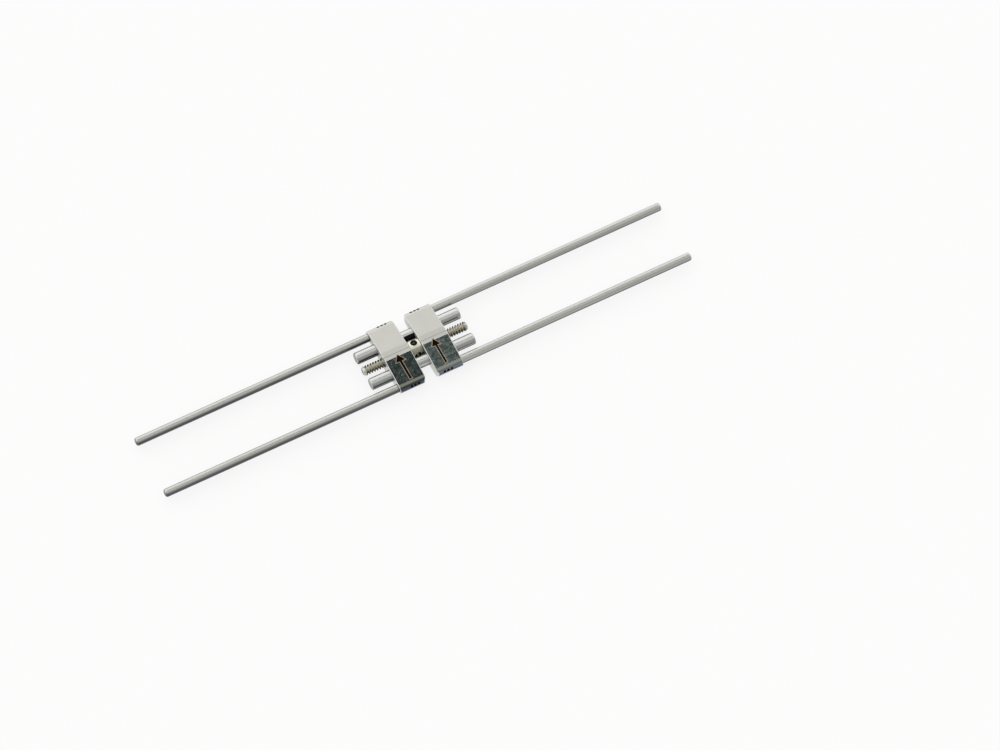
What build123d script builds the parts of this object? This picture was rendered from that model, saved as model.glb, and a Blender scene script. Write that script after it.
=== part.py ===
from build123d import *
import math
import os

# Palatal expansion screw in stainless steel. Two blocks ride on two guide pins, and a spindle with
# opposite threads on its two ends drives them apart when its drilled hub is turned with a pin key.
# Each block carries two straight round arms, welded into sockets at the block's ends.
#
# Frame: X along the spindle, pins and arms, Y along the blocks (+Y is the back), Z up. The origin lies
# under the middle of the closed body, on the plane of the blocks' lower lands. Millimetres.

# Spindle
HUB_DIAMETER = 3.36
HUB_LENGTH = 2.12
HUB_EDGE = 0.11
HUB_END_PLAY = 0.03
KEY_HOLE_DIAMETER = 1.25
KEY_HOLE_TILT = 11.0
THREAD_DIAMETER = 1.7
THREAD_CLEARANCE = 0.05
SPINDLE_OVERHANG = 3.97
SPINDLE_TIP_LENGTH = 0.4
SPINDLE_TIP_STEP = 0.12
SPINDLE_TIP_CHAMFER = 0.12

# Guide pins
PIN_DIAMETER = 2.1
PIN_CLEARANCE = 0.03
PIN_OVERHANG = 3.93
PIN_END_ROUND = 0.25
HUB_TO_PIN = 0.1

# Arms
ARM_DIAMETER = 1.5
ARM_REACH = 44.8
ARM_TIP_ROUND = 0.4
ARM_SHOULDER = 0.1
ARM_FIT = 0.01
SPIGOT_DIAMETER = 1.0
PIN_TO_ARM = 0.98
SOCKET_FLOOR = 1.0

# Blocks
BLOCK_WIDTH = 4.98
HUB_RECESS = 0.05
LAND_WIDTH = 1.74
END_WALL = 0.31
END_FLAT = 0.58
CORNER_ROUND = 0.8
EDGE_BREAK = 0.1

# Places that follow from the sizes above
inner_face = HUB_LENGTH / 2 + HUB_END_PLAY
outer_face = inner_face + BLOCK_WIDTH
half_height = HUB_DIAMETER / 2 + HUB_RECESS
pin_y = HUB_DIAMETER / 2 + HUB_TO_PIN + PIN_DIAMETER / 2
arm_y = pin_y + PIN_DIAMETER / 2 + PIN_TO_ARM + ARM_DIAMETER / 2
end_radius = ARM_DIAMETER / 2 + END_WALL
socket_end = inner_face + SOCKET_FLOOR


def rod(diameter, start, end, y=0.0):
    """A round bar along X, from start to end, on the common axis plane."""
    bar = Cylinder(diameter / 2, end - start, align=(Align.CENTER, Align.CENTER, Align.MIN))
    return Pos(start, y, 0) * Rot(Y=90) * bar


def block_section():
    """The block's outline across Y and Z: a flat land, a facet that slopes down tangent to the round end,
    a narrow flat, and the end itself, rounded about the arm's axis. Top and bottom are alike."""
    land = LAND_WIDTH / 2
    run = arm_y - land
    slope = math.atan2(half_height, run) - math.asin(end_radius / math.hypot(run, half_height))
    flat_turn = 2 * math.asin(END_FLAT / 2 / end_radius)

    def on_end(angle):
        return arm_y + end_radius * math.sin(angle), end_radius * math.cos(angle)

    facet_foot = on_end(slope)
    flat_foot = on_end(slope + flat_turn)
    top_back = [(land, half_height), facet_foot, flat_foot]
    top_front = [(-y, z) for y, z in reversed(top_back)]
    low_back = [(y, -z) for y, z in reversed(top_back)]
    low_front = [(-y, -z) for y, z in top_back]
    end_y = arm_y + end_radius
    with BuildSketch(Plane.YZ) as section:
        with BuildLine():
            Polyline(*top_front, *top_back)
            ThreePointArc(top_back[-1], (end_y, 0), low_back[0])
            Polyline(*low_back, *low_front)
            ThreePointArc(low_front[-1], (-end_y, 0), top_front[0])
        make_face()
    return section.sketch


def block_plan():
    """The block's outline from above, with the two corners beside the gap rounded."""
    length = 2 * (arm_y + end_radius)
    with BuildSketch(Plane.XY) as plan:
        with Locations((inner_face, 0)):
            Rectangle(BLOCK_WIDTH, length, align=(Align.MIN, Align.CENTER))
        fillet(plan.vertices().group_by(Axis.X)[0], CORNER_ROUND)
    return plan.sketch


def make_block():
    """The right-hand block: section and plan crossed, edges broken, then drilled for what passes through."""
    bar = Pos(inner_face, 0, 0) * extrude(block_section(), amount=BLOCK_WIDTH)
    block = bar & extrude(block_plan(), amount=half_height, both=True)
    sides = block.faces().sort_by(Axis.X)
    gap_edges = sides[0].edges().filter_by(Axis.Z, reverse=True)
    block = fillet(sides[-1].edges() + gap_edges, EDGE_BREAK)
    block -= rod(THREAD_DIAMETER + 2 * THREAD_CLEARANCE, inner_face, outer_face)
    for side in (-1, 1):
        block -= rod(PIN_DIAMETER + 2 * PIN_CLEARANCE, inner_face, outer_face, side * pin_y)
        block -= rod(SPIGOT_DIAMETER + 2 * ARM_FIT, socket_end, outer_face, side * arm_y)
    return block


def make_arm(side):
    """A right-hand arm: a straight wire with a rounded tip, turned down to a spigot that fills the socket.
    Its bevelled shoulder stands at the block's outer face."""
    shoulder = outer_face + ARM_FIT
    wire = rod(ARM_DIAMETER, shoulder, outer_face + ARM_REACH, side * arm_y)
    wire = fillet(wire.edges().sort_by(Axis.X)[-1], ARM_TIP_ROUND)
    wire = chamfer(wire.edges().sort_by(Axis.X)[0], ARM_SHOULDER)
    return wire + rod(SPIGOT_DIAMETER, socket_end, shoulder + ARM_SHOULDER, side * arm_y)


def make_pin(side):
    """A plain guide pin that stands out of both blocks, with both ends rounded off."""
    half_length = outer_face + PIN_OVERHANG
    pin = rod(PIN_DIAMETER, -half_length, half_length, side * pin_y)
    return fillet(pin.edges().filter_by(GeomType.CIRCLE), PIN_END_ROUND)


def make_spindle():
    """One turned piece: hub in the middle, a threaded shank each way at its full thread diameter, and
    a plain reduced tip. Two crossed holes through the hub take the key in quarter turns."""
    hub, shank = HUB_DIAMETER / 2, THREAD_DIAMETER / 2
    tip = shank - SPINDLE_TIP_STEP
    end = outer_face + SPINDLE_OVERHANG
    thread_end = end - SPINDLE_TIP_LENGTH
    half_hub = HUB_LENGTH / 2
    right = [
        (half_hub - HUB_EDGE, hub),
        (half_hub, hub - HUB_EDGE),
        (half_hub, shank),
        (thread_end, shank),
        (thread_end, tip),
        (end - SPINDLE_TIP_CHAMFER, tip),
        (end, tip - SPINDLE_TIP_CHAMFER),
        (end, 0),
    ]
    left = [(-x, r) for x, r in reversed(right)]
    with BuildSketch(Plane.XZ) as half_profile:
        with BuildLine():
            Polyline(*left, *right, close=True)
        make_face()
    spindle = revolve(half_profile.sketch, Axis.X)
    drill = Cylinder(KEY_HOLE_DIAMETER / 2, 2 * HUB_DIAMETER)
    for quarter in (0, 90):
        spindle -= Rot(X=quarter - KEY_HOLE_TILT) * drill
    return spindle


block = make_block()
nodes = {
    "block_right": block,
    "block_left": mirror(block, Plane.YZ),
    "spindle": make_spindle(),
}
for place, side in (("front", -1), ("back", 1)):
    arm = make_arm(side)
    nodes[f"arm_right_{place}"] = arm
    nodes[f"arm_left_{place}"] = mirror(arm, Plane.YZ)
    nodes[f"guide_pin_{place}"] = make_pin(side)

os.makedirs("parts", exist_ok=True)
for name, solid in nodes.items():
    export_step(Pos(0, 0, half_height) * solid, f"parts/{name}.step")
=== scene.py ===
from math import cos, pi, radians, sin

import bmesh
import bpy
import numpy as np
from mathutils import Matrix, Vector


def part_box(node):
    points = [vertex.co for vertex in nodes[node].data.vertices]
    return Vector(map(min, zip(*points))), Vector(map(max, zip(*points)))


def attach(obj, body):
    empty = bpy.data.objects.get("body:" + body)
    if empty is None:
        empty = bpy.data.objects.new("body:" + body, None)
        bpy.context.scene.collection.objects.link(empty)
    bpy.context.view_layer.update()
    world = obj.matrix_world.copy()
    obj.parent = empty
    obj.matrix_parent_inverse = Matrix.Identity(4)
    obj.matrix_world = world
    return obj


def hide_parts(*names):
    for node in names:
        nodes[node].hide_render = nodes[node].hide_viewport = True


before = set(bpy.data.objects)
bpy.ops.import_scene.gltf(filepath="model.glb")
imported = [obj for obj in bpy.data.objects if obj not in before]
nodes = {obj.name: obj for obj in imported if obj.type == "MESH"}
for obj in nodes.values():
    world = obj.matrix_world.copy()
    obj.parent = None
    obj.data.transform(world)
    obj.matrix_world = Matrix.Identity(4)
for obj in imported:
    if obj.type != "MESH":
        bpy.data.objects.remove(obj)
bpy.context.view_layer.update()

# Looks of a palatal expansion screw in stainless steel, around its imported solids. Metres throughout.
# X runs along the spindle, pins and arms, +Y is the back, Z is up. The solids keep their shapes, but a
# threaded spindle takes the plain one's place. It and the weld spots are worked out here as surfaces.

MM = 0.001

# Places read from the frame
block_low, block_high = (Vector(corner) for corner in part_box("block_right"))
pin_low, pin_high = (Vector(corner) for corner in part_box("guide_pin_back"))
arm_low, arm_high = (Vector(corner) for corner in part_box("arm_right_back"))
spindle_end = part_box("spindle")[1][0]
axis_height = (block_low.z + block_high.z) / 2
block_middle = (block_low.x + block_high.x) / 2
block_half = (block_high.x - block_low.x) / 2
pin_row = (pin_low.y + pin_high.y) / 2
pin_radius = (pin_high.y - pin_low.y) / 2
arm_row = (arm_low.y + arm_high.y) / 2
arm_radius = (arm_high.y - arm_low.y) / 2
end_radius = block_high.y - arm_row

# Hub, thread and tips of the spindle; crest and root are shares of the pitch
HUB_HALF = 1.06 * MM
HUB_RADIUS = 1.68 * MM
HUB_HOLE_RADIUS = 0.625 * MM
CREST_RADIUS = 0.85 * MM
THREAD_DEPTH = 0.27 * MM
THREAD_PITCH = 0.5 * MM
CREST_SHARE = 0.18
ROOT_SHARE = 0.22
THREAD_FADE_IN = 0.4 * MM
THREAD_FADE_OUT = 0.1 * MM
TIP_LENGTH = 0.4 * MM
TIP_RADIUS = 0.73 * MM
TIP_CHAMFER = 0.12 * MM
SHANK_SEAT = 0.1 * MM
SHANK_ROWS = 330
SHANK_COLUMNS = 56

# Weld spots, three on each of a block's round ends; their angles are about the arm, from straight up
SPOT_RADIUS = 0.27 * MM
SPOT_HEIGHT = 0.04 * MM
SPOT_DIP = 0.03 * MM
SPOT_DIP_SHARE = 0.4
SPOT_SEAT = 0.02 * MM
SPOT_SPACING = 0.68 * MM
SPOT_MIDDLE = 3.18 * MM
SPOT_ANGLE_FRONT = radians(71)
SPOT_ANGLE_BACK = radians(45)
SPOT_RINGS = 9
SPOT_SPOKES = 24

# Distance within which points are merged, margin that tells the shanks' faces from the hub's, and the
# largest angle between faces that is still shaded smooth
MERGE_DISTANCE = 1e-7
FACE_MARGIN = 1e-6
SMOOTH_ANGLE = radians(40)

# Rounded corners beside the gap, and marks on the blocks' upper side
CORNER_ROUND = 0.8 * MM
LAND_EDGE = 0.87 * MM
SCRIBED_LINE = -0.15 * MM
SCRIBED_HALF = 0.03 * MM
SCRIBED_FADE = 0.09 * MM
ARROW_TIP = -0.58 * MM
ARROW_NECK = -1.88 * MM
ARROW_TAIL = -5.46 * MM
ARROW_OUTLINE = 0.12 * MM
ARROW_LEAN = 0.035
SCRATCH_TURN = radians(-35)

# Blends: between two finishes, into the upright sides from inside, and from the left half to the right
SOFT_EDGE = 0.02 * MM
SIDE_FADE = 0.13 * MM
SIDE_FULL = 0.08 * MM
HALF_FADE = 4 * MM

# Reflection of turned and ground steel seen edge-on, against its plain reflection
EDGE_TINT = (0.3, 0.3, 0.3, 1)

# The photograph's frame and the camera that matches it
IMAGE_WIDTH = 1000
PIXELS_PER_METRE = 5810
SENSOR_WIDTH = 36.0
CAMERA_AZIMUTH = radians(-27.4)
CAMERA_ELEVATION = radians(61.0)
CAMERA_DISTANCE = 1.5
AIM = Vector((0.010675, -0.0114, axis_height))

# Share of plain white in what a camera, a reflection or glass sees of the floor
FLOOR_WHITE = 0.82
FLOOR_REACH = 3.0
FLOOR_CORNERS = ((-1, -1), (1, -1), (1, 1), (-1, 1))
FLOOR_TONE = (0.9, 0.9, 0.9, 1)
LIGHT_PATHS = ("Is Camera Ray", "Is Glossy Ray", "Is Transmission Ray")

# Dome of light, over half turns from straight up towards the back: its level in front, then each rise, as
# where it starts, where it ends and what it adds
SKY_FRONT = 0.48
SKY_RISES = ((-0.55, -0.12, 0.24), (-0.14, 0.0, 0.38), (0.0, 0.16, 0.15), (0.2, 0.42, 0.25))
SKY_TONE = (1.0, 0.995, 0.98, 1)

# Dark gap in the dome: its direction, the cosines at its edge and where it is full, its depth and tone
GAP_DIRECTION = (0.213, 0.165, 0.963)
GAP_EDGE = 0.977
GAP_FULL = 0.9935
GAP_DEPTH = 0.9
GAP_TONE = (0.84, 1.0, 1.02, 1)


def rgb(red, green, blue_reflection):
    """A colour written in sRGB from 0 to 255, as the linear values that a shader takes."""
    share = np.array([red, green, blue_reflection]) / 255
    linear = np.where(share <= 0.04045, share / 12.92, ((share + 0.055) / 1.055) ** 2.4)
    return (*map(float, linear), 1.0)


# Tones of the blocks
SATIN_DULL = rgb(178, 177, 172)
SATIN_BRIGHT = rgb(190, 189, 184)
FACET_SPECK = rgb(225, 231, 229)
# Pale colour for the upright sides and the rounded corners beside the gap: a painted reflection of the
# white floor
SIDE_PAINTED_REFLECTION = rgb(218, 218, 215)
# Painted reflection of a blue thing, low on the front round ends
PAINTED_BLUE_REFLECTION = rgb(60, 73, 106)
SCRIBED_GREY = rgb(110, 108, 102)
ARROW_RIM = rgb(172, 155, 134)
ARROW_DARK = rgb(27, 15, 9)
OXIDE_DARK = rgb(5, 5, 6)
OXIDE_PALE = rgb(46, 44, 44)

# Tones of the arms and pins
WIRE_DULL = rgb(176, 176, 171)
WIRE_BRIGHT = rgb(204, 205, 201)
# Painted shade on the arms' lower side
WIRE_SHADE_BELOW = rgb(66, 70, 74)
PIN_DULL = rgb(190, 191, 189)
PIN_BRIGHT = rgb(213, 214, 212)
# Painted shade in a band on the pins' upper front
PIN_BAND_SHADE = rgb(120, 123, 120)
# Painted shade on the pins' lower side, for the front pin and the back pin
PIN_SHADE_BELOW_FRONT = rgb(126, 130, 126)
PIN_SHADE_BELOW_BACK = rgb(86, 90, 86)
# Painted shade, nearly black, on the back pin's flank beside the hub
PIN_GAP_SHADE = rgb(8, 8, 8)
# Painted highlight on the pins' ends
PIN_END_HIGHLIGHT = rgb(228, 228, 226)

# Tones of the spindle
TURNED_DULL = rgb(182, 179, 163)
TURNED_BRIGHT = rgb(206, 203, 189)
HUB_PALE = rgb(222, 220, 208)
# Painted shade over the hub's front
HUB_FRONT_SHADE = rgb(154, 152, 132)
# Painted light in the thread's roots, against the shade in its grooves
ROOT_PAINTED_LIGHT = rgb(226, 222, 206)
# Painted shade along the thread's back and lower side
THREAD_SHADE = rgb(62, 59, 46)
TIP_BRIGHT = rgb(205, 205, 201)
# Painted shade at the mouths of the hub's holes, and painted light deep in them
HOLE_MOUTH_SHADE = rgb(48, 48, 40)
HOLE_DEEP_LIGHT = rgb(190, 190, 180)


class Shade:
    """A value in a material's node tree. Arithmetic on it adds Math nodes, and node() adds any other."""

    def __init__(self, tree, socket=None):
        self.tree = tree
        self.socket = socket

    def node(self, kind, inputs=None, output=0, **settings):
        """Adds a node of this kind: settings first, then values or links for its sockets."""
        made = self.tree.nodes.new(kind)
        for key, value in settings.items():
            setattr(made, key, value)
        for key, value in (inputs or {}).items():
            if isinstance(value, Shade):
                self.tree.links.new(value.socket, made.inputs[key])
            else:
                made.inputs[key].default_value = value
        return Shade(self.tree, made.outputs[output])

    def math(self, operation, *values):
        return self.node("ShaderNodeMath", dict(enumerate(values)), operation=operation)

    def __add__(self, other):
        return self.math("ADD", self, other)

    def __sub__(self, other):
        return self.math("SUBTRACT", self, other)

    def __rsub__(self, other):
        return self.math("SUBTRACT", other, self)

    def __mul__(self, other):
        return self.math("MULTIPLY", self, other)

    def __truediv__(self, other):
        return self.math("DIVIDE", self, other)

    def __abs__(self):
        return self.math("ABSOLUTE", self)

    __radd__ = __add__
    __rmul__ = __mul__

    def lower(self, other):
        return self.math("MINIMUM", self, other)

    def higher(self, other):
        return self.math("MAXIMUM", self, other)

    def step(self, start, end):
        """0 up to start, 1 from end, smooth between; start may be the larger one."""
        inputs = {"Value": self, "From Min": start, "From Max": end}
        return self.node("ShaderNodeMapRange", inputs, interpolation_type="SMOOTHSTEP")

    def mix(self, low, high):
        """A colour that goes from low to high with this value."""
        inputs = {"Factor": self, 6: low, 7: high}
        return self.node("ShaderNodeMix", inputs, output=2, data_type="RGBA")

    def noise(self, scale, detail=2.0, stretch=(1, 1, 1), turn=0.0):
        """Noise from 0 to 1 on Object coordinates, turned about Z and stretched; scale is per metre."""
        place = self.node("ShaderNodeTexCoord", output="Object")
        place = self.node("ShaderNodeMapping", {"Vector": place, "Rotation": (0, 0, turn)})
        place = self.node("ShaderNodeMapping", {"Vector": place, "Scale": stretch})
        inputs = {"Vector": place, "Scale": scale, "Detail": detail}
        return self.node("ShaderNodeTexNoise", inputs)

    def coordinates(self, kind="Object"):
        """Coordinates of this kind as three values."""
        place = self.node("ShaderNodeTexCoord", output=kind)
        return [self.node("ShaderNodeSeparateXYZ", {"Vector": place}, output=k) for k in range(3)]


def new_material(name):
    """A metal material: its first Shade and its Principled node."""
    material = bpy.data.materials.new(name)
    material.use_nodes = True
    shader = material.node_tree.nodes["Principled BSDF"]
    shader.inputs["Metallic"].default_value = 1.0
    return material, Shade(material.node_tree), shader


def connect(shade, shader, colour, roughness, relief, depth):
    """Feeds colour, roughness and a bump of the given depth in metres into the Principled node."""
    bump = shade.node("ShaderNodeBump", {"Height": relief, "Distance": depth, "Strength": 1.0})
    for name, value in (("Base Color", colour), ("Roughness", roughness), ("Normal", bump)):
        shade.tree.links.new(value.socket, shader.inputs[name])


def arrow_distance(x, y, head_width, shaft_width):
    """How far a point lies outside an arrow that points to +Y: the lesser of the distances to its head, a
    triangle, and to its shaft, a bar. Negative inside."""
    head_length = ARROW_TIP - ARROW_NECK
    slant = np.hypot(head_length, head_width / 2)
    flank = (abs(x) * head_length + (y - ARROW_TIP) * (head_width / 2)) / slant
    head = flank.higher(ARROW_NECK - y)
    shaft = (abs(x) - shaft_width / 2).higher(ARROW_TAIL - y).higher(y - (ARROW_TIP + ARROW_NECK) / 2)
    return head.lower(shaft)


def block_material(
    name, middle, arrow_shift, head_width, shaft_width,
    front_finish, front_tones, end_flat_shade, round_end_shade, corner_shine,
):
    """Ground steel: satin on the land and back facet, finer and mottled on the front facet, with fine
    scratches, pale specks, a scribed line along the land and an engraved arrow on the front facet. Pale
    colour paints a reflection on the upright sides, and where corner_shine is set on the rounded corners
    beside the gap. Painted shade darkens the front end, most of all its round end, where a painted blue
    reflection lies low down."""
    material, shade, shader = new_material(name)
    x, y, z = shade.coordinates()
    height = (z - axis_height) / end_radius
    reach = (abs(y) - arm_row) / end_radius
    smudge = shade.noise(420, 3.0)
    mottle = shade.noise(2000, 5.0).step(0.3, 0.7)
    grain = shade.noise(5200, 2.0, (0.16, 1, 1))
    specks = shade.noise(4600, 1.0).step(0.7, 0.8)
    hairlines = shade.noise(2600, 2.0, (0.05, 1, 1)).step(0.66, 0.74)
    scratches = shade.noise(1900, 1.0, (0.05, 1, 1), SCRATCH_TURN).step(0.66, 0.72)

    front = y.step(-LAND_EDGE + SOFT_EDGE, -LAND_EDGE - SOFT_EDGE)
    # Painted shade: the front end flat, and darker still the front round end, get dark tones
    end_flat = front * reach.step(0.16, 0.24)
    round_end = front * reach.step(0.5, 0.58)
    # Painted blue reflection low on the front round end
    blue_reflection = round_end * height.step(0.58, 0.22) * height.step(-0.6, 0.0)
    # Painted reflection: the upright sides, and where corner_shine is set the rounded corners beside the
    # gap, get a pale colour
    side = abs(x - middle).step(block_half - SIDE_FADE, block_half - SIDE_FULL)
    corner = abs(x).step(block_low.x + 0.55 * CORNER_ROUND, block_low.x + 0.3 * CORNER_ROUND)
    corner = corner * abs(y).step(block_high.y - CORNER_ROUND, block_high.y - 0.9 * CORNER_ROUND)
    corner = corner * height.step(0.75, 0.45) * corner_shine
    side_reflection = side.higher(corner)

    upper = z.step(axis_height, axis_height + 0.5 * MM)
    arrow_middle = middle + arrow_shift - (y - (ARROW_TIP + ARROW_TAIL) / 2) * ARROW_LEAN
    outside = arrow_distance(x - arrow_middle, y, head_width, shaft_width)
    fill = outside.step(0.03 * MM, -0.03 * MM) * upper
    rim = outside.step(ARROW_OUTLINE + 0.03 * MM, ARROW_OUTLINE - 0.04 * MM) * upper
    line = abs(y - SCRIBED_LINE).step(SCRIBED_FADE, SCRIBED_HALF) * upper

    facet = mottle.mix(*front_tones)
    facet = (specks * 0.7 + scratches * 0.25).mix(facet, FACET_SPECK)
    colour = smudge.mix(SATIN_DULL, SATIN_BRIGHT)
    colour = front.mix(colour, facet)
    colour = end_flat.mix(colour, end_flat_shade)
    colour = round_end.mix(colour, round_end_shade)
    colour = (blue_reflection * 0.7).mix(colour, PAINTED_BLUE_REFLECTION)
    colour = side_reflection.mix(colour, SIDE_PAINTED_REFLECTION)
    colour = (line * 0.6).mix(colour, SCRIBED_GREY)
    colour = (rim * 0.75).mix(colour, ARROW_RIM)
    colour = fill.mix(colour, ARROW_DARK)
    satin = 0.27 + smudge * 0.1
    fine = front_finish + smudge * 0.06 + mottle * 0.08 + specks * 0.35
    roughness = satin + front * (fine - satin) + rim * 0.25 + side_reflection * 0.25
    relief = grain * 0.25 + hairlines * 0.3 - line * 1.5 - rim * 1.2
    connect(shade, shader, colour, roughness, relief, 0.002 * MM)
    return material


def wire_material(name):
    """Drawn wire: long fine streaks along X and a few faint blotches. Painted shade darkens its lower side,
    the more so on the left."""
    material, shade, shader = new_material(name)
    x, _, z = shade.coordinates()
    height = (z - axis_height) / arm_radius
    streaks = shade.noise(6500, 3.0, (0.012, 1, 1))
    blotch = shade.noise(300, 2.0, (0.3, 1, 1))
    left = x.step(HALF_FADE, -HALF_FADE)
    # Painted shade on the lower side, deeper on the left
    painted_shade_below = (height - left * 0.4).step(0.6, 0.0)
    colour = (streaks * 0.6 + blotch * 0.4).mix(WIRE_DULL, WIRE_BRIGHT)
    colour = (painted_shade_below * 0.92).mix(colour, WIRE_SHADE_BELOW)
    connect(shade, shader, colour, 0.24 + streaks * 0.14, streaks, 0.004 * MM)
    return material


def pin_material(name):
    """Ground pin: bright, with very fine rings around its length and faint wear along it. A painted
    highlight brightens its ends. Painted shade darkens a band on its upper front and its lower side, the
    more so on the back pin and on the left, and paints the back pin's flank beside the hub nearly black."""
    material, shade, shader = new_material(name)
    shader.inputs["Specular Tint"].default_value = EDGE_TINT
    x, y, z = shade.coordinates()
    height = (z - axis_height) / pin_radius
    rings = shade.noise(9000, 2.0, (1, 0.03, 0.03))
    wear = shade.noise(700, 2.0, (0.1, 1, 1))
    left = x.step(HALF_FADE, -HALF_FADE)
    front = (y - shade.math("SIGN", y) * pin_row).step(0, -0.1 * MM)
    # Painted shade in a band on the upper front
    shade_band = front * height.step(0.92, 0.85) * height.step(0.35, 0.75)
    # Painted shade on the lower side, deeper on the left and on the back pin
    painted_shade_below = (height - left * 0.32).step(0.28, -0.06)
    shade_below_tone = y.step(-0.5 * MM, 0.5 * MM).mix(PIN_SHADE_BELOW_FRONT, PIN_SHADE_BELOW_BACK)
    # Painted shade, nearly black, on the back pin's flank beside the hub
    flank = ((pin_row - y) / pin_radius + wear * 0.1).step(0.38, 0.5)
    painted_dark = flank * y.step(0, 0.5 * MM) * abs(x).step(2.3 * HUB_HALF, 0.9 * HUB_HALF)
    # Painted highlight on the pin's ends
    end = abs(x).step(pin_high.x - 0.05 * MM, pin_high.x - 0.01 * MM)
    colour = (rings * 0.4 + wear * 0.6).mix(PIN_DULL, PIN_BRIGHT)
    colour = (shade_band * 0.4).mix(colour, PIN_BAND_SHADE)
    colour = (painted_shade_below * 0.95).mix(colour, shade_below_tone)
    colour = (painted_dark * 0.97).mix(colour, PIN_GAP_SHADE)
    colour = end.mix(colour, PIN_END_HIGHLIGHT)
    connect(shade, shader, colour, 0.27 + wear * 0.1 + painted_dark * 0.2, rings, 0.001 * MM)
    return material


def spindle_material(name):
    """Turned steel, a little yellow: tool rings along X, a pale hub with painted shade over its front,
    painted light in the thread's roots, painted shade along the thread's back and lower side, and bright
    tips. The hub's holes have painted shade at the mouth and painted light deep down."""
    material, shade, shader = new_material(name)
    shader.inputs["Specular Tint"].default_value = EDGE_TINT
    x, y, z = shade.coordinates()
    height = z - axis_height
    radius = shade.math("SQRT", y * y + height * height)
    rings = shade.noise(9000, 2.0, (1, 0.03, 0.03))
    stain = shade.noise(900, 3.0)
    shank = abs(x).step(HUB_HALF, HUB_HALF + 0.1 * MM)
    # Painted light in the thread's roots; the mask also roughens them
    root_light = radius.step(CREST_RADIUS, CREST_RADIUS - THREAD_DEPTH) * shank
    # Painted shade on the thread's lower side and along its back
    painted_shade_below = height.step(0.75 * CREST_RADIUS, 0.05 * CREST_RADIUS) * shank
    painted_dark = y.step(0.36 * CREST_RADIUS, 0.54 * CREST_RADIUS) * shank
    tip_start = spindle_end - TIP_LENGTH
    tip = abs(x).step(tip_start - SOFT_EDGE, tip_start + SOFT_EDGE)
    hub = 1 - shank
    # Painted shade over the hub's front
    hub_front_shade = y.step(-0.69 * MM, -0.79 * MM) * hub
    # Painted shade at the holes' mouths, then painted light deeper in
    hole_shade = radius.step(HUB_RADIUS - 0.02 * MM, HUB_RADIUS - 0.3 * MM)
    hole_shade = hole_shade * abs(x).step(HUB_HOLE_RADIUS + 0.03 * MM, HUB_HOLE_RADIUS)
    deep_light = radius.step(1.3 * MM, 0.9 * MM) * hub
    colour = (rings * 0.4 + stain * 0.6).mix(TURNED_DULL, TURNED_BRIGHT)
    colour = (hub * 0.7).mix(colour, HUB_PALE)
    colour = (hub_front_shade * 0.75).mix(colour, HUB_FRONT_SHADE)
    colour = (root_light * 0.2).mix(colour, ROOT_PAINTED_LIGHT)
    colour = (painted_shade_below * 0.8).higher(painted_dark * 0.9).mix(colour, THREAD_SHADE)
    colour = tip.mix(colour, TIP_BRIGHT)
    colour = (hole_shade * 0.75).mix(colour, HOLE_MOUTH_SHADE)
    colour = (deep_light * 0.7).mix(colour, HOLE_DEEP_LIGHT)
    connect(shade, shader, colour, 0.24 + stain * 0.12 + root_light * 0.15, rings, 0.003 * MM)
    return material


def weld_material(name):
    """Remelted steel: nearly black oxide with a few paler stains, rougher than the block around it."""
    material, shade, shader = new_material(name)
    stain = shade.noise(6000, 2.0)
    colour = stain.step(0.55, 0.85).mix(OXIDE_DARK, OXIDE_PALE)
    connect(shade, shader, colour, 0.4 + stain * 0.2, stain, 0.01 * MM)
    return material


def grid_mesh(name, points):
    """A mesh over a grid of points, rows by columns: each cell is a quad, and the last column joins the
    first. A row of coincident points is a pole, which merging closes."""
    rows, columns = points.shape[:2]
    index = np.arange(rows * columns).reshape(rows, columns)
    beside = np.roll(index, -1, axis=1)
    quads = np.stack([index[:-1], beside[:-1], beside[1:], index[1:]], axis=-1).reshape(-1, 4)
    mesh = bpy.data.meshes.new(name)
    mesh.from_pydata(points.reshape(-1, 3), [], quads)
    return mesh


def threaded_shank(side):
    """One end of the spindle, a surface about X carried over length and angle. From the hub outwards the
    radius is the crest's less a trapezoid groove, whose phase is length over pitch plus the angle's share
    of a turn. Side is the sign of X, so the two ends are mirror images, of opposite hand. The groove fades
    out at both ends of the thread. A plain tip with a bevel follows, and the inner end is closed inside
    the hub."""
    thread_end = spindle_end - TIP_LENGTH
    along = np.linspace(HUB_HALF, thread_end, SHANK_ROWS)
    angle = np.linspace(0, 2 * pi, SHANK_COLUMNS, endpoint=False)
    phase = (along[:, None] / THREAD_PITCH + angle / (2 * pi)) % 1.0
    flank_share = (1 - CREST_SHARE - ROOT_SHARE) / 2
    groove = np.clip((np.abs(phase - 0.5) - CREST_SHARE / 2) / flank_share, 0, 1)
    fade_in = np.clip((along - HUB_HALF) / THREAD_FADE_IN, 0, 1)
    fade_out = np.clip((thread_end - along) / THREAD_FADE_OUT, 0, 1)
    thread = CREST_RADIUS - THREAD_DEPTH * groove * (fade_in * fade_out)[:, None]
    seat_along = [HUB_HALF - SHANK_SEAT, HUB_HALF - SHANK_SEAT]
    seat_radius = [0, CREST_RADIUS]
    tip_along = [thread_end, spindle_end - TIP_CHAMFER, spindle_end, spindle_end]
    tip_radius = [TIP_RADIUS, TIP_RADIUS, TIP_RADIUS - TIP_CHAMFER, 0]
    around = np.ones(SHANK_COLUMNS)
    along = np.outer(np.concatenate([seat_along, along, tip_along]), around)
    radius = np.concatenate([np.outer(seat_radius, around), thread, np.outer(tip_radius, around)])
    points = np.stack([side * along, radius * np.cos(angle), axis_height + radius * np.sin(angle)], axis=-1)
    return grid_mesh("shank", points)


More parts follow.
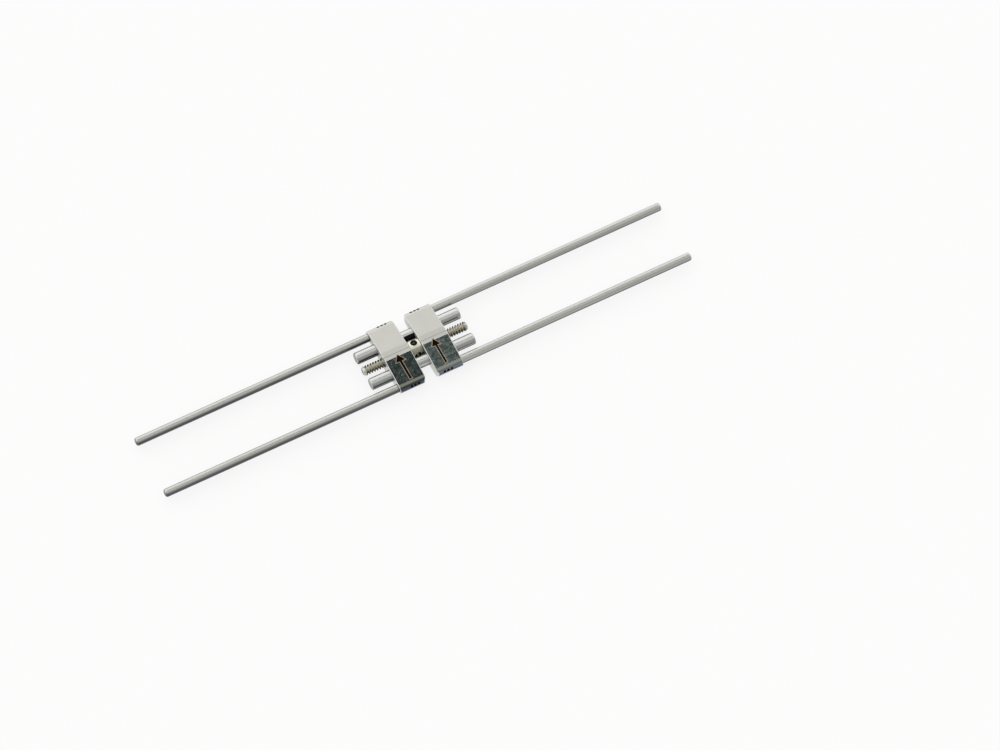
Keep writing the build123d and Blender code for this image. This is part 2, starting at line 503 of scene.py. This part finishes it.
def weld_spots(side):
    """Six weld spots on a block's two round ends. Each is a disc of rings and spokes laid on the end's
    cylinder about the arm: a low bead that rises from its edge, less a bell-shaped dip in the middle. Its
    underside is a plain disc sunk in the block."""
    ring = np.concatenate([[0, 1], np.linspace(1, 0, SPOT_RINGS)])[:, None]
    spoke = np.linspace(0, 2 * pi, SPOT_SPOKES, endpoint=False)
    bead = SPOT_HEIGHT * np.sqrt(1 - ring**2)
    dip = SPOT_DIP * np.exp(-((ring / SPOT_DIP_SHARE) ** 2)) * (1 - ring**2)
    lift = bead - dip
    lift[:2] = -SPOT_SEAT
    reach = end_radius + lift
    meshes = []
    for row, tilt in ((-1, SPOT_ANGLE_FRONT), (1, SPOT_ANGLE_BACK)):
        for number in (-1, 0, 1):
            middle = SPOT_MIDDLE + number * SPOT_SPACING
            turn = tilt + SPOT_RADIUS * ring * np.sin(spoke) / end_radius
            points = np.stack(
                [
                    side * (middle + SPOT_RADIUS * ring * np.cos(spoke)),
                    row * (arm_row + reach * np.sin(turn)),
                    axis_height + reach * np.cos(turn),
                ],
                axis=-1,
            )
            meshes.append(grid_mesh("spot", points))
    return meshes


def hub_mesh():
    """The drilled hub: a copy of the spindle's solid without its shanks, merged, and closed where they
    were."""
    copy = bmesh.new()
    copy.from_mesh(nodes["spindle"].data)
    bmesh.ops.remove_doubles(copy, verts=copy.verts, dist=MERGE_DISTANCE)
    shanks = [face for face in copy.faces if abs(face.calc_center_median().x) > HUB_HALF + FACE_MARGIN]
    bmesh.ops.delete(copy, geom=shanks, context="FACES")
    openings = [edge for edge in copy.edges if edge.is_boundary]
    bmesh.ops.holes_fill(copy, edges=openings)
    mesh = bpy.data.meshes.new("hub")
    copy.to_mesh(mesh)
    copy.free()
    return mesh


def join(name, meshes, body, material):
    """One piece from several meshes: doubles merged, faces turned outwards, smooth but for sharp edges."""
    whole = bmesh.new()
    for mesh in meshes:
        whole.from_mesh(mesh)
        bpy.data.meshes.remove(mesh)
    bmesh.ops.remove_doubles(whole, verts=whole.verts, dist=MERGE_DISTANCE)
    bmesh.ops.recalc_face_normals(whole, faces=whole.faces)
    mesh = bpy.data.meshes.new(name)
    whole.to_mesh(mesh)
    whole.free()
    mesh.shade_smooth()
    mesh.set_sharp_from_angle(angle=SMOOTH_ANGLE)
    mesh.materials.append(material)
    piece = bpy.data.objects.new(name, mesh)
    bpy.context.scene.collection.objects.link(piece)
    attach(piece, body)
    return piece


def build_object():
    """Gives every solid its steel, and adds the threaded spindle and the weld spots."""
    steels = {
        "block_left": block_material(
            "block_left_steel",
            middle=-block_middle,
            arrow_shift=0.0,
            head_width=1.78 * MM,
            shaft_width=0.42 * MM,
            front_finish=0.07,
            front_tones=(rgb(124, 133, 128), rgb(146, 154, 150)),
            # Tones of painted shade on the front end flat and round end
            end_flat_shade=rgb(137, 138, 128),
            round_end_shade=rgb(74, 79, 77),
            corner_shine=0.0,
        ),
        "block_right": block_material(
            "block_right_steel",
            middle=block_middle,
            arrow_shift=-0.29 * MM,
            head_width=1.56 * MM,
            shaft_width=0.36 * MM,
            front_finish=0.13,
            front_tones=(rgb(130, 141, 136), rgb(150, 160, 155)),
            # Tones of painted shade on the front end flat and round end
            end_flat_shade=rgb(150, 151, 142),
            round_end_shade=rgb(126, 131, 131),
            corner_shine=1.0,
        ),
        "spindle": spindle_material("turned_spindle"),
    }
    wire = wire_material("arm_wire")
    pin = pin_material("ground_pin")
    for name, node in nodes.items():
        material = steels.get(name) or (pin if "pin" in name else wire)
        node.data.materials.clear()
        node.data.materials.append(material)
    shanks = [threaded_shank(side) for side in (1, -1)]
    spindle = join("threaded_spindle", [hub_mesh(), *shanks], "spindle", steels["spindle"])
    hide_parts("spindle")
    weld = weld_material("weld_oxide")
    for side, half in ((-1, "left"), (1, "right")):
        spots = join(f"weld_spots_{half}", weld_spots(side), f"{half}_half", weld)


def build_floor():
    """A wide pale floor at the object's foot. It takes shadows, but is mostly plain white to the eye and in
    reflections."""
    mesh = bpy.data.meshes.new("floor")
    corners = [(x * FLOOR_REACH, y * FLOOR_REACH, 0) for x, y in FLOOR_CORNERS]
    mesh.from_pydata(corners, [], [(0, 1, 2, 3)])
    floor = bpy.data.objects.new("floor", mesh)
    bpy.context.scene.collection.objects.link(floor)
    paper = bpy.data.materials.new("floor_paper")
    paper.use_nodes = True
    shader = paper.node_tree.nodes["Principled BSDF"]
    shader.inputs["Base Color"].default_value = FLOOR_TONE
    shader.inputs["Roughness"].default_value = 1.0
    shader.inputs["Specular IOR Level"].default_value = 0.0
    shade = Shade(paper.node_tree, shader.outputs[0])
    seen = sum(shade.node("ShaderNodeLightPath", output=name) for name in LIGHT_PATHS)
    white = shade.node("ShaderNodeEmission", {"Color": (1, 1, 1, 1), "Strength": 1.0})
    both = shade.node("ShaderNodeMixShader", {0: seen.lower(1.0) * FLOOR_WHITE, 1: shade, 2: white})
    output = paper.node_tree.nodes["Material Output"]
    paper.node_tree.links.new(both.socket, output.inputs["Surface"])
    mesh.materials.append(paper)


def build_sky():
    """A soft dome of light: brightest behind, dimmer in front, with a dark gap overhead, where polished
    steel shows slate."""
    world = bpy.data.worlds.new("studio")
    world.use_nodes = True
    bpy.context.scene.world = world
    shade = Shade(world.node_tree)
    x, y, z = shade.coordinates("Generated")
    back = shade.math("ARCTAN2", y, z.higher(0.0)) / pi
    dome = SKY_FRONT + sum(back.step(start, end) * rise for start, end, rise in SKY_RISES)
    gap = x * GAP_DIRECTION[0] + y * GAP_DIRECTION[1] + z * GAP_DIRECTION[2]
    gap = gap.step(GAP_EDGE, GAP_FULL)
    level = dome * (1 - gap * GAP_DEPTH)
    tone = gap.mix(SKY_TONE, GAP_TONE)
    background = world.node_tree.nodes["Background"]
    world.node_tree.links.new(level.socket, background.inputs["Strength"])
    world.node_tree.links.new(tone.socket, background.inputs["Color"])


def build_camera():
    """The photograph's camera: a long lens that looks down from the front left."""
    back = Vector(
        (
            sin(CAMERA_AZIMUTH) * cos(CAMERA_ELEVATION),
            -cos(CAMERA_AZIMUTH) * cos(CAMERA_ELEVATION),
            sin(CAMERA_ELEVATION),
        )
    )
    data = bpy.data.cameras.new("camera")
    data.sensor_width = SENSOR_WIDTH
    data.lens = SENSOR_WIDTH * CAMERA_DISTANCE * PIXELS_PER_METRE / IMAGE_WIDTH
    camera = bpy.data.objects.new("camera", data)
    camera.location = AIM + back * CAMERA_DISTANCE
    camera.rotation_euler = back.to_track_quat("Z", "Y").to_euler()
    bpy.context.scene.collection.objects.link(camera)
    bpy.context.scene.camera = camera


build_object()
build_floor()
build_sky()
build_camera()
bpy.context.scene.view_settings.view_transform = "Standard"
